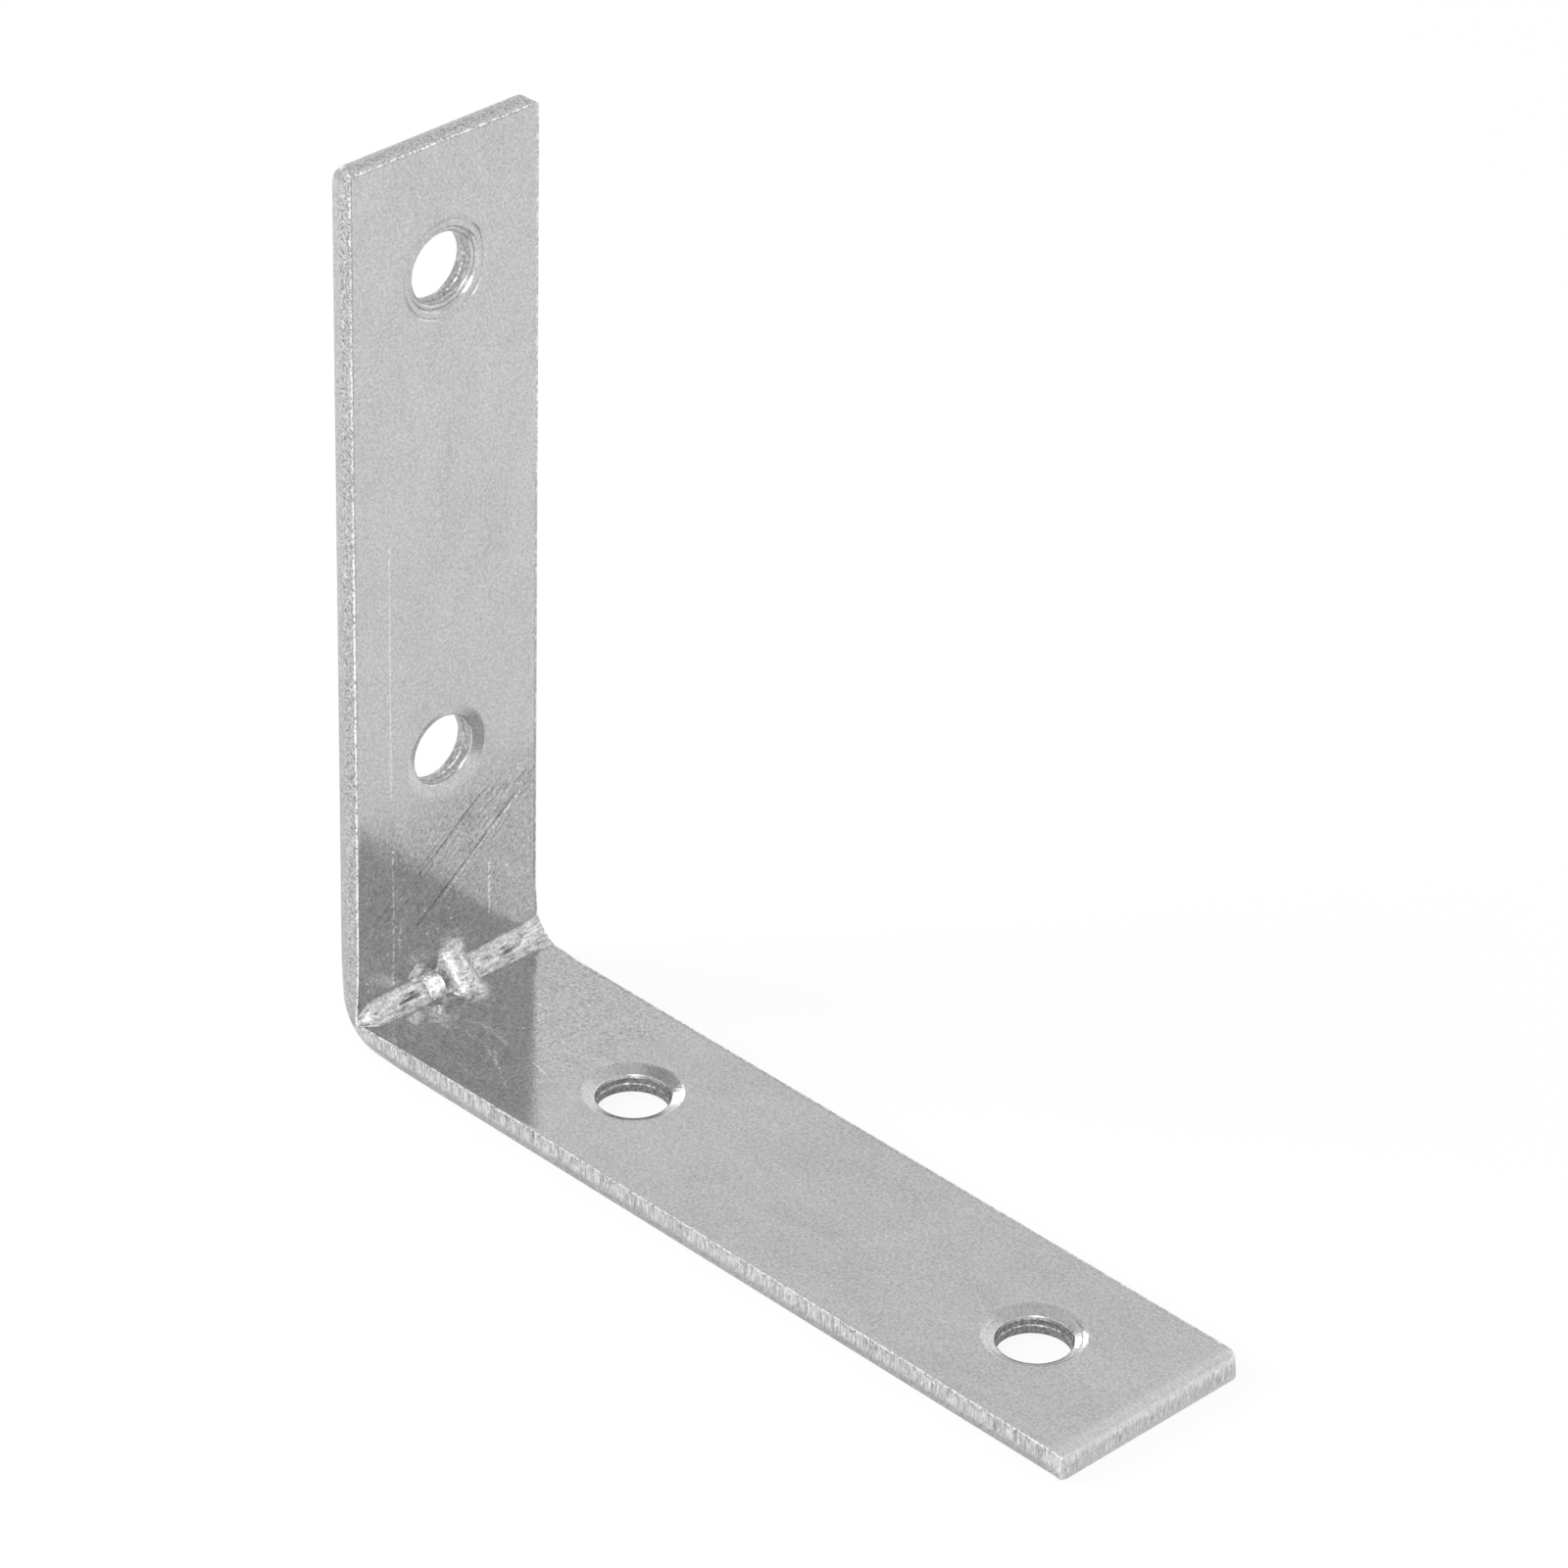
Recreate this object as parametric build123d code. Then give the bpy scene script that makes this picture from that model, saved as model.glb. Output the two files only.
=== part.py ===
from build123d import *
import math
import os

# Corner angle bracket, in millimetres. One strip of zinc plated steel, sheared to length, pierced for four
# countersunk screws and folded once through a right angle, with a stiffening bead pressed into the fold.
# The origin is the outer corner line at the middle of the strip's width: the base leg lies along +X with its
# seat at Z = 0, and the upright leg stands along +Z with its seat at X = 0. The inner faces look towards
# +X and +Z.

# The strip
strip_width = 18.0
thickness = 2.0
base_length = 74.6
upright_height = 72.4

# The fold: the punch's nose leaves a shallow hollow band inside, sharply bordered, at this reach up each leg
outer_bend_radius = 4.0
band_reach = 1.32
band_hollow = 0.2

# In the fold the sides swell at the squeezed inner face and draw in at the stretched outer face
side_swell = 0.3
swell_run_out = 4.0

# Edges left by the shear: drawn round on the side where the blade went in, sharp where the metal tore
shear_roll_radius = 0.45
top_corner_radius = 0.6
base_corner_radius = 0.4

# Screw holes: the near ones are placed from the outer corner, the far ones from the end of their leg
screw_hole_diameter = 5.5
countersink_diameter = 7.6
countersink_depth = 0.5
countersink_lip_radius = 0.3
base_near_hole = 22.3
base_far_hole_margin = 11.3
upright_near_hole = 22.0
upright_far_hole_margin = 10.4

# The bead: a half-round rib across the inside of the fold, at 45 degrees to both legs, hollow behind
bead_radius = 1.6
bead_rise = 1.5
bead_foot_radius = 0.6
bead_wall = 1.7
dent_radius = 1.0
dent_lip_radius = 0.3

# Room by which cutting tools pass the metal, and the distance at which a point counts as lying on a face
overshoot = 0.4
near_enough = 0.001

half_width = strip_width / 2
fold_end = outer_bend_radius + swell_run_out
half_arc = math.pi / 4 * outer_bend_radius
fold_floor = (thickness + band_reach / 2) * math.sqrt(2) - band_hollow


def l_section(base_reach, upright_reach):
    """The folded section in the XZ plane, its legs cut at the given reaches."""
    outer_corner = (0, 0, 0)
    band_low = (thickness + band_reach, 0, thickness)
    band_middle = (fold_floor / math.sqrt(2), 0, fold_floor / math.sqrt(2))
    band_high = (thickness, 0, thickness + band_reach)
    faces = Polyline(
        band_high,
        (thickness, 0, upright_reach),
        (0, 0, upright_reach),
        outer_corner,
        (base_reach, 0, 0),
        (base_reach, 0, thickness),
        band_low,
    )
    band = ThreePointArc(band_low, band_middle, band_high)
    section = make_face(faces + band)
    return fillet(section.vertices().sort_by_distance(outer_corner)[0], outer_bend_radius)


def depth_below_outer_face(point):
    """How far a point lies inside the metal, measured from the seats and from the outer bend between them."""
    across = max(outer_bend_radius - point.X, 0)
    down = max(outer_bend_radius - point.Z, 0)
    return outer_bend_radius - math.hypot(across, down)


def fold_side_line(depth):
    """The line that the strip's +Y side follows round the fold, at one depth below the outer face."""
    stations = 24
    half_run = half_arc + swell_run_out
    squeeze = 2 * depth / thickness - 1
    points = []
    for station in range(stations + 1):
        run = half_run * (2 * station / stations - 1)
        fade = (1 + math.cos(math.pi * run / half_run)) / 2
        if run < -half_arc:
            x, z = outer_bend_radius - half_arc - run, depth
        elif run > half_arc:
            x, z = depth, outer_bend_radius - half_arc + run
        else:
            angle = math.pi / 4 + run / outer_bend_radius
            x = outer_bend_radius - (outer_bend_radius - depth) * math.sin(angle)
            z = outer_bend_radius - (outer_bend_radius - depth) * math.cos(angle)
        points.append((x, half_width + side_swell * squeeze * fade, z))
    return Spline(*points, tangents=[(-1, 0, 0), (0, 0, 1)])


def fold_side_cutter():
    """What lies beyond the swollen and drawn-in +Y side of the fold."""
    side = Face.make_surface_from_curves(
        fold_side_line(-overshoot).edge(),
        fold_side_line(thickness + overshoot).edge(),
    )
    return Solid.extrude(side, Vector(0, 3 * side_swell + 2 * overshoot, 0))


def folded_strip():
    """The sheared strip after folding, with its sides swollen at the fold and no edge broken yet."""
    strip = extrude(l_section(base_length, upright_height), amount=half_width, both=True)
    strip += extrude(l_section(fold_end, fold_end), amount=half_width + side_swell + overshoot, both=True)
    cutter = fold_side_cutter()
    strip -= cutter
    strip -= mirror(cutter, about=Plane.XZ)
    return strip


def top_corners(strip):
    """The two short edges through the thickness at the top of the upright."""
    through = strip.edges().filter_by(Axis.X)
    return [edge for edge in through if edge.center().Z > upright_height - near_enough]


def outer_face_rim(strip):
    """The edges round the outer face, from the base's end up both sides and over the top of the upright."""
    rim = []
    for edge in strip.edges():
        on_outer_face = all(abs(depth_below_outer_face(edge @ place)) < near_enough for place in (0, 0.5, 1))
        crosses_strip = edge.bounding_box().size.Y > half_width
        at_top = edge.center().Z > upright_height - near_enough
        if on_outer_face and (at_top or not crosses_strip):
            rim.append(edge)
    return rim


def base_end_rim(strip):
    """The edge of the inner face at the end of the base, where the blade went in from above."""
    across = strip.edges().filter_by(Axis.Y)
    return [
        edge for edge in across
        if edge.center().X > base_length - near_enough and edge.center().Z > thickness - near_enough
    ]


def base_plan():
    """The base seen from above with its two end corners eased, as thick as the cut that trims them needs."""
    far_side = base_length - fold_end
    plan = Rectangle(far_side, strip_width, align=(Align.MIN, Align.CENTER))
    end_corners = plan.vertices().sort_by(Axis.X)[-2:]
    plan = fillet(end_corners, base_corner_radius)
    return Pos(fold_end, 0, -overshoot) * extrude(plan, amount=thickness + 2 * overshoot)


def base_corner_trim():
    """The slivers outside the eased corners at the end of the base."""
    length = base_length - fold_end
    block = Box(length, strip_width, thickness + 2 * overshoot, align=(Align.MIN, Align.CENTER, Align.MIN))
    return Pos(fold_end, 0, -overshoot) * block - base_plan()


def screw_hole():
    """The space of one screw hole: bore and coined countersink, with the inner face at Z = 0."""
    bore_radius = screw_hole_diameter / 2
    seat_radius = countersink_diameter / 2
    profile = Polyline(
        (0, 0, -thickness - overshoot),
        (bore_radius, 0, -thickness - overshoot),
        (bore_radius, 0, -countersink_depth),
        (seat_radius, 0, 0),
        (seat_radius, 0, overshoot),
        (0, 0, overshoot),
        close=True,
    )
    section = make_face(profile)
    lip = section.vertices().sort_by_distance((bore_radius, 0, -countersink_depth))[0]
    section = fillet(lip, countersink_lip_radius)
    return revolve(section, Axis.Z)


def hole_places():
    """Where the four holes open on the inner faces, with Z pointing out of the metal."""
    base = [base_near_hole, base_length - base_far_hole_margin]
    upright = [upright_near_hole, upright_height - upright_far_hole_margin]
    on_base = [Plane(origin=(x, 0, thickness), z_dir=(0, 0, 1)) for x in base]
    on_upright = [Plane(origin=(thickness, 0, z), z_dir=(1, 0, 0)) for z in upright]
    return on_base + on_upright


def diagonal_bar(radius, crest):
    """A round bar square to the fold's diagonal, its crest at the given distance from the outer corner."""
    outward = Vector(1, 0, 1).normalized()
    along = Vector(1, 0, -1).normalized()
    length = 4 * outer_bend_radius
    start = outward * (crest - radius) - along * (length / 2)
    bar = Cylinder(radius, length, align=(Align.CENTER, Align.CENTER, Align.MIN))
    return Plane(origin=start, z_dir=along) * bar


def inside_of_fold():
    """The room on the inner side of the metal's middle layer, where the rib stands."""
    middle = thickness / 2
    reach = middle + fold_end
    corner = (middle, 0, middle)
    outline = Polyline(corner, (reach, 0, middle), (reach, 0, reach), (middle, 0, reach), close=True)
    room = make_face(outline)
    room = fillet(room.vertices().sort_by_distance(corner)[0], outer_bend_radius - middle)
    return extrude(room, amount=half_width, both=True)


def with_bead(strip):
    """Raises the rib inside the fold with soft feet, and presses the dent into the outside behind it."""
    crest = fold_floor + bead_rise
    strip += diagonal_bar(bead_radius, crest) & inside_of_fold()
    foot = [edge for edge in strip.edges() if stands_in_fold(edge)]
    strip = fillet(foot, bead_foot_radius)
    strip -= diagonal_bar(dent_radius, crest - bead_wall)
    mouth = [edge for edge in strip.edges() if rims_dent(edge)]
    return fillet(mouth, dent_lip_radius)


def is_beside_middle(edge):
    """True for the edges near the middle of the strip's width and near the fold."""
    box = edge.bounding_box()
    return max(-box.min.Y, box.max.Y) < half_width / 2 and max(box.max.X, box.max.Z) < fold_end


def stands_in_fold(edge):
    """True for the edges where the rib meets the inner faces."""
    box = edge.bounding_box()
    return is_beside_middle(edge) and min(box.min.X, box.min.Z) > thickness - near_enough


def rims_dent(edge):
    """True for the edges where the dent opens on the outer face."""
    return is_beside_middle(edge) and abs(depth_below_outer_face(edge @ 0.5)) < near_enough


def angle_bracket():
    """The whole bracket, made in the order of the real press work."""
    strip = folded_strip()
    strip = fillet(top_corners(strip), top_corner_radius)
    strip = fillet(outer_face_rim(strip), shear_roll_radius)
    strip = fillet(base_end_rim(strip), shear_roll_radius)
    strip -= base_corner_trim()
    for place in hole_places():
        strip -= place * screw_hole()
    return with_bead(strip)


os.makedirs("parts", exist_ok=True)
export_step(angle_bracket(), "parts/angle_bracket.step")
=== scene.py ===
import bmesh
import bpy
import math
import numpy as np
from mathutils import Matrix, Vector, noise


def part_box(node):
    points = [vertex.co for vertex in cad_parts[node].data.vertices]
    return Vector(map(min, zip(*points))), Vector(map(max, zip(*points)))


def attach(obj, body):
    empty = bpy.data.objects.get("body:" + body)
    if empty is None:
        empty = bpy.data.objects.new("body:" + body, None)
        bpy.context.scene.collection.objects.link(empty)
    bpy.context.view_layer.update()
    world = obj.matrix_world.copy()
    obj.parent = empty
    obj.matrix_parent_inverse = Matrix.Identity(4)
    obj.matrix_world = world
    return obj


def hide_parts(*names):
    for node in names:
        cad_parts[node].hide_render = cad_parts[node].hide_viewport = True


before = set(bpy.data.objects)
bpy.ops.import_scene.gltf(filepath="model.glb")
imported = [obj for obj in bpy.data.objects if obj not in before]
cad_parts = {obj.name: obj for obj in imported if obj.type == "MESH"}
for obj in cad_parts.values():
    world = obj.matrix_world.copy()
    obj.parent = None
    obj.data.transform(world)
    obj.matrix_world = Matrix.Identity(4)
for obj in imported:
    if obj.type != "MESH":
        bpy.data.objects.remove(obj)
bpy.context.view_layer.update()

# The blank
# One strip of cold rolled steel sheet, 18 mm wide and 2 mm thick, sheared off a coil. It is laid out flat
# here and bent further down. All in millimetres: run goes along the strip and is negative on the base leg,
# across goes over its width, and depth goes from 0 on the outer face to 1 on the inner face.
millimetre = 0.001
box_low, box_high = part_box("angle_bracket")
base_length = box_high[0] / millimetre
upright_height = box_high[2] / millimetre
leg_ends = {-1: base_length, 1: upright_height}
half_width = 9.0
thickness = 2.0
fold_reach = 8.0
rim_width = 1.0
cell = 1.0
decimals = 4

blank = []
finish = []
place_numbers = {}
panels = []


def vertex(run, across, depth, torn=0.0, coined=0.0, bored=0.0, sunk=0.0):
    """The number of the vertex at this place of the flat strip, and how the tools left the metal there."""
    place = (round(run, decimals), round(across, decimals), round(depth, decimals))
    if place not in place_numbers:
        place_numbers[place] = len(blank)
        blank.append(place)
        finish.append((torn, coined, bored, sunk))
    return place_numbers[place]


def steps(start, end, size):
    """Even steps from start to end, each about this size."""
    count = max(1, round(abs(end - start) / size))
    return [start + (end - start) * n / count for n in range(count + 1)]


def stepped(spans):
    """The steps over a row of spans, each given by its start, its end and the size of its steps."""
    places = [spans[0][0]]
    for start, end, size in spans:
        places += steps(start, end, size)[1:]
    return places


# Where the four screw holes sit on each leg, and the square of sheet round each that is made in rings
hole_runs = {-1: (22.3, 63.3), 1: (22.0, 62.0)}
hole_square = 6.0

field_runs = {}
for leg in (-1, 1):
    stops = [fold_reach]
    for hole in hole_runs[leg]:
        stops += [hole - hole_square, hole + hole_square]
    stops.append(leg_ends[leg] - rim_width)
    field_runs[leg] = stepped([(start, end, cell) for start, end in zip(stops, stops[1:])])
field_columns = steps(rim_width - half_width, half_width - rim_width, cell)

# The fold is cut finer, since the bead and the marks of the punch lie there. Its columns pass through the
# whole millimetres, where the cells of the legs end.
fold_half = stepped([(0, 1.28, 0.08), (1.28, 2.4, 0.16), (2.4, 3.0, 0.05), (3.0, fold_reach, 0.2)])
fold_runs = [-run for run in reversed(fold_half[1:])] + fold_half
fold_columns = stepped([
    (-8, -6, 0.25),
    (-6, -3, 0.125),
    (-3, -2, 0.08),
    (-2, -1, 0.08),
    (-1, 6, 0.125),
    (6, 8, 0.25),
])

# The sheared edges
# The strip and its top end are cut by a blade that goes in at the outer face: there the edge is drawn round,
# below that it is burnished, and the inner half of it is torn and ends in a burr. The base's end is cut from
# inside.
rim_step = 0.2
corner_step = 0.1
corner_blend = 0.6
corner_pull = 4.0
tear_depth = 0.05
tear_bias = 0.25
burr_height = 0.02
burr_peak = 0.012
# For each loop round the edge: how far in from the edge it lies and at what depth, for an edge that is cut
# from the outer face and for one that is cut from the inner face, and how torn the metal is there
edge_loops = [
    (1.0, 1, 1.0, 1, 0),
    (0.75, 1, 0.7, 1, 0),
    (0.5, 1, 0.45, 1, 0),
    (0.3, 1, 0.3, 0.978, 0),
    (0.2, 1.002, 0.17, 0.935, 0),
    (0.12, 1.012, 0.08, 0.88, 0.3),
    (0.03, 1.0, 0.02, 0.81, 0.6),
    (0.02, 0.95, 0.0, 0.74, 1),
    (0.04, 0.88, 0.0, 0.66, 1),
    (0.06, 0.8, 0.0, 0.58, 1),
    (0.07, 0.72, 0.01, 0.53, 1),
    (0.07, 0.64, 0.05, 0.46, 1),
    (0.06, 0.56, 0.06, 0.38, 1),
    (0.04, 0.49, 0.06, 0.3, 0.7),
    (0.0, 0.44, 0.06, 0.22, 0.6),
    (0.0, 0.35, 0.05, 0.15, 0),
    (0.0, 0.25, 0.03, 0.08, 0),
    (0.04, 0.14, 0.0, 0.02, 0),
    (0.14, 0.06, 0.1, 0.0, 0),
    (0.28, 0.015, 0.25, 0.0, 0),
    (0.45, 0.0, 0.45, 0.0, 0),
    (0.75, 0.0, 0.75, 0.0, 0),
    (1.0, 0.0, 1.0, 0.0, 0),
]
# The torn metal's unevenness: strength, how often it changes along the edge, its slant, how often it changes
# through the sheet, and the step that keeps the sides apart
tear_grains = [(1.0, 2.6, 3.1, 7, 5.0), (0.6, 6.1, -4, 15, 9.0)]
# The burr's unevenness: strength, how often it changes along the edge, its place in the noise, and the same
# step
burr_waves = [(1.2, 1.9, 3.0, 2.0), (0.9, 0.35, 8.0, 3.0)]
# How strong the burr is: on the near side of the base, what the upright adds and loses again above its near
# hole, and on the other edges
near_burr = 0.72
near_burr_gain = 0.23
near_burr_loss = 0.35
other_burrs = {"far": 0.35, "top": 0.5, "base": 0.0}
# The top end is frosted down to where it is drawn round
top_frost = 0.7


def rim_stations():
    """Places round the strip as (side, along): near and far are its long sides, top and base its ends."""
    long_side = []
    for leg in (-1, 1):
        rows = field_runs[leg]
        spans = [
            (start, end, corner_step if end == rows[-1] else rim_step)
            for start, end in zip(rows, rows[1:])
        ]
        fine = stepped(spans)
        if leg < 0:
            long_side += [-run for run in reversed(fine)][:-1] + fold_runs
        else:
            long_side += fine[1:]
    spans = []
    for start, end in zip(field_columns, field_columns[1:]):
        at_corner = max(abs(start), abs(end)) == half_width - rim_width
        spans.append((start, end, corner_step if at_corner else rim_step))
    short_side = stepped(spans)
    around = [("near", run) for run in long_side[:-1]]
    around += [("top", across) for across in short_side[:-1]]
    around += [("far", run) for run in reversed(long_side[1:])]
    around += [("base", across) for across in reversed(short_side[1:])]
    return around


def eased(value, start, end):
    """0 before start, 1 after end, and a smooth rise between them."""
    share = np.clip((value - start) / (end - start), 0, 1)
    return share * share * (3 - 2 * share)


def burr_share(side, along):
    """How strong the burr is at one station of the rim."""
    if side == "near":
        return near_burr + near_burr_gain * eased(along, -2, 2) - near_burr_loss * eased(along, 38, 46)
    return other_burrs[side]


def edge_place(side, along, loop):
    """Where one loop's vertex lies at one station of the rim, with the torn metal's unevenness."""
    inset, depth, end_inset, end_depth, torn = loop
    if side in ("near", "far"):
        leg = -1 if along < 0 else 1
        from_corner = leg_ends[leg] - rim_width - abs(along)
        turned = 0.5 * max(0, 1 - from_corner / corner_blend) if leg < 0 else 0
    else:
        from_corner = half_width - rim_width - abs(along)
        turned = 1 - 0.5 * max(0, 1 - from_corner / corner_blend) if side == "base" else 0
    inset += (end_inset - inset) * turned
    depth += (end_depth - depth) * turned
    unevenness = 0
    for strength, along_rate, slant, depth_rate, side_step in tear_grains:
        where = Vector((along * along_rate + depth * slant, depth * depth_rate, len(side) * side_step))
        unevenness += strength * noise.noise(where)
    if side in ("far", "top"):
        unevenness *= 0.5
    surface_inset = max(0, inset + tear_depth * torn * (unevenness + tear_bias))
    if depth > 1:
        burr = 1
        for strength, along_rate, row, side_step in burr_waves:
            burr += strength * noise.noise(Vector((along * along_rate, row, len(side) * side_step)))
        depth += burr_height * burr_share(side, along) * max(0, burr) * (depth - 1) / burr_peak
    if side in ("near", "far"):
        sign = -1 if side == "near" else 1
        stretch = (rim_width - inset) * max(0, 1 - from_corner / corner_pull)
        return along + leg * stretch, sign * (half_width - surface_inset), depth
    leg = 1 if side == "top" else -1
    across = along * (half_width - inset) / (half_width - rim_width)
    return leg * (leg_ends[leg] - surface_inset), across, depth


def join_loops(first, second):
    """A ring of four-sided panels between two closed loops of vertices."""
    for here in range(len(first)):
        after = (here + 1) % len(first)
        panels.append((first[here], first[after], second[after], second[here]))


stations = rim_stations()
edge_vertex_loops = []
for loop in edge_loops:
    inset, depth, end_inset, end_depth, torn = loop
    on_burr = depth > 0.97 and inset < 0.25
    around = []
    for side, along in stations:
        burr = on_burr * burr_share(side, along)
        frosted = top_frost if side == "top" and 0.02 < depth < 0.5 else torn
        around.append(vertex(*edge_place(side, along, loop), max(frosted, burr), burr))
    edge_vertex_loops.append(around)
for first, second in zip(edge_vertex_loops, edge_vertex_loops[1:]):
    join_loops(first, second)

# The screw holes
# Four holes are punched from the outer face before the fold. The punch leaves a smooth band next to the
# outer face and torn metal next to the inner face, where a second stroke coins a shallow countersink with
# rings round it.
bore_radius = 2.75
mouth_radius = 2.98
sink_radius = 3.8
sink_depth = 0.43
sink_softness = 0.025
lip_radius = 0.26
lip_unevenness = 0.03
# The loops of a hole: the radii of the outermost on each face, the last radius that has rings, and how far
# the loops beyond have come from the square to the circle
ring_edge = 4.15
ring_step = 0.055
inner_face_ring = 4.45
outer_face_ring = 3.4
from_inner_square = (0, 0.5, 0.85)
to_outer_square = (0.8, 0.4, 0)
hole_points = 96
quarter_points = hole_points // 4
square_step = 2 * hole_square / quarter_points
# The bore's wall from its lip down: share of its height, widening, unevenness, and how torn and how dull it
# is there
bore_rings = [
    (0.02, 0.0, 0.03, 0.4, 0.3),
    (0.07, 0.01, 0.035, 0.4, 1),
    (0.14, 0.03, 0.045, 0, 1),
    (0.2, 0.04, 0.05, 0, 1),
    (0.27, 0.045, 0.05, 0, 1),
    (0.34, 0.045, 0.045, 0, 1),
    (0.4, 0.03, 0.04, 0.3, 1),
    (0.44, -0.02, 0.012, 0.5, 1),
    (0.5, -0.03, 0.0, 0, 1),
    (0.65, -0.03, 0.0, 0, 1),
    (0.8, -0.03, 0.0, 0, 1),
    (0.88, 0.0, 0.0, 0, 1),
    (0.95, 0.08, 0.0, 0, 0.5),
]
# The unevenness of the bore: strength, how often it changes round the bore and how often through the sheet
bore_grains = [(1.0, 9, 9), (0.7, 24, 17)]
# Radius, half width and depth of the rings that the coining stroke left round each hole of each leg
coined_rings = {
    (-1, 0): [(3.9, 0.1, -0.015)],
    (-1, 1): [(3.9, 0.1, -0.015), (3.45, 0.08, 0.025)],
    (1, 0): [(3.9, 0.1, -0.012)],
    (1, 1): [
        (3.98, 0.08, -0.04),
        (3.8, 0.09, 0.11),
        (3.38, 0.16, -0.09),
        (3.12, 0.07, 0.08),
        (2.97, 0.06, -0.05),
    ],
}


def square_place(number):
    """One of the places round the square of sheet, starting in the middle of a side."""
    quarter, offset = divmod(number + quarter_points // 2, quarter_points)
    offset = (offset / (quarter_points // 2) - 1) * hole_square
    sides = [(hole_square, offset), (-offset, hole_square), (-hole_square, -offset), (offset, -hole_square)]
    return sides[quarter % 4]


def sink_profile(radius, rings):
    """Depth in millimetres below the inner face at one radius of a countersink, with its coined rings."""
    slope = sink_depth * (sink_radius - radius) / (sink_radius - bore_radius)
    depth = 0
    if radius < sink_radius + 0.3:
        depth = sink_softness * math.log1p(math.exp(min(slope / sink_softness, 40)))
    for place, width, height in rings:
        depth += height * math.exp(-((radius - place) / width) ** 2)
    return depth


def hole_loop(centre, shape, radius, depth, unevenness=0.0, torn=0.0, coined=0.0, bored=0.0, sunk=0.0):
    """A closed loop of vertices round a hole; shape goes from 0 on the square to 1 on the circle."""
    loop = []
    for number in range(hole_points):
        angle = 2 * math.pi * number / hole_points
        corner = square_place(number)
        grow = 0
        if unevenness:
            for strength, round_rate, depth_rate in bore_grains:
                way = (round_rate * math.cos(angle), round_rate * math.sin(angle))
                grow += strength * noise.noise(Vector((*way, depth * depth_rate + centre)))
        reach = radius + unevenness * grow
        run = centre + corner[0] * (1 - shape) + reach * math.cos(angle) * shape
        across = corner[1] * (1 - shape) + reach * math.sin(angle) * shape
        loop.append(vertex(run, across, depth, torn, coined, bored, sunk))
    return loop


def screw_hole(centre, rings):
    """All loops of one hole, from the square on the inner face down to the square on the outer face."""
    loops = [hole_loop(centre, shape, inner_face_ring, 1) for shape in from_inner_square]
    sink_slope = math.atan(sink_depth / (sink_radius - bore_radius))
    lip_edge = bore_radius + lip_radius * (1 - math.sin(sink_slope))
    for radius in steps(ring_edge, lip_edge, ring_step):
        sunk = 1.0 if radius < sink_radius + 0.05 else 0.0
        loops.append(hole_loop(centre, 1, radius, 1 - sink_profile(radius, rings) / thickness, sunk=sunk))
    lip_depth = sink_profile(lip_edge, rings) + lip_radius * math.cos(sink_slope)
    for share in (0.8, 0.6, 0.4, 0.2):
        angle = share * (math.pi / 2 - sink_slope)
        radius = bore_radius + lip_radius * (1 - math.cos(angle))
        level = 1 - (lip_depth - lip_radius * math.sin(angle)) / thickness
        loops.append(hole_loop(centre, 1, radius, level, lip_unevenness * (1 - share), sunk=1.0))
    for share, width, unevenness, torn, bored in bore_rings:
        below = lip_depth + (thickness - lip_depth) * share
        level = 1 - below / thickness
        loops.append(hole_loop(centre, 1, bore_radius + width, level, unevenness, torn, torn, bored))
    loops.append(hole_loop(centre, 1, mouth_radius, 0))
    loops.append(hole_loop(centre, 1, outer_face_ring, 0))
    loops += [hole_loop(centre, shape, ring_edge, 0) for shape in to_outer_square]
    for first, second in zip(loops, loops[1:]):
        join_loops(first, second)


for leg in (-1, 1):
    for number, hole in enumerate(hole_runs[leg]):
        screw_hole(leg * hole, coined_rings[leg, number])

# The flat faces
# What is left of the rolled sheet between the rim, the holes and the fold, as it came off the coil. Each
# cell takes in the vertices of its neighbours that lie along its sides, so that the skin is closed.
just_past = 0.001
seams = {}
for hole_leg, places in hole_runs.items():
    for hole in places:
        centre = hole_leg * hole
        half_steps = steps(-hole_square, hole_square, square_step)
        for sign in (-1, 1):
            seams[("run", round(centre + sign * hole_square, decimals))] = half_steps
            line = seams.setdefault(("across", sign * hole_square), [])
            line += [centre + step for step in half_steps]
for leg, end_side in ((-1, "base"), (1, "top")):
    seams[("run", leg * fold_reach)] = fold_columns
    rim_run = round(leg * (leg_ends[leg] - rim_width), decimals)
    seams[("run", rim_run)] = sorted(along for side, along in stations if side == end_side)
for sign in (-1, 1):
    rim_across = sign * (half_width - rim_width)
    seams[("across", rim_across)] = sorted(along for side, along in stations if side == "near")


def along_side(direction, fixed, start, end, depth):
    """The vertices of one side of a cell, from its start up to but not including its end."""
    low = min(start, end) + just_past
    high = max(start, end) - just_past
    between = {place for place in seams.get((direction, round(fixed, decimals)), ()) if low < place < high}
    places = [start] + sorted(between, reverse=start > end)
    if direction == "run":
        return [vertex(fixed, across, depth) for across in places]
    return [vertex(run, fixed, depth) for run in places]


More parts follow.
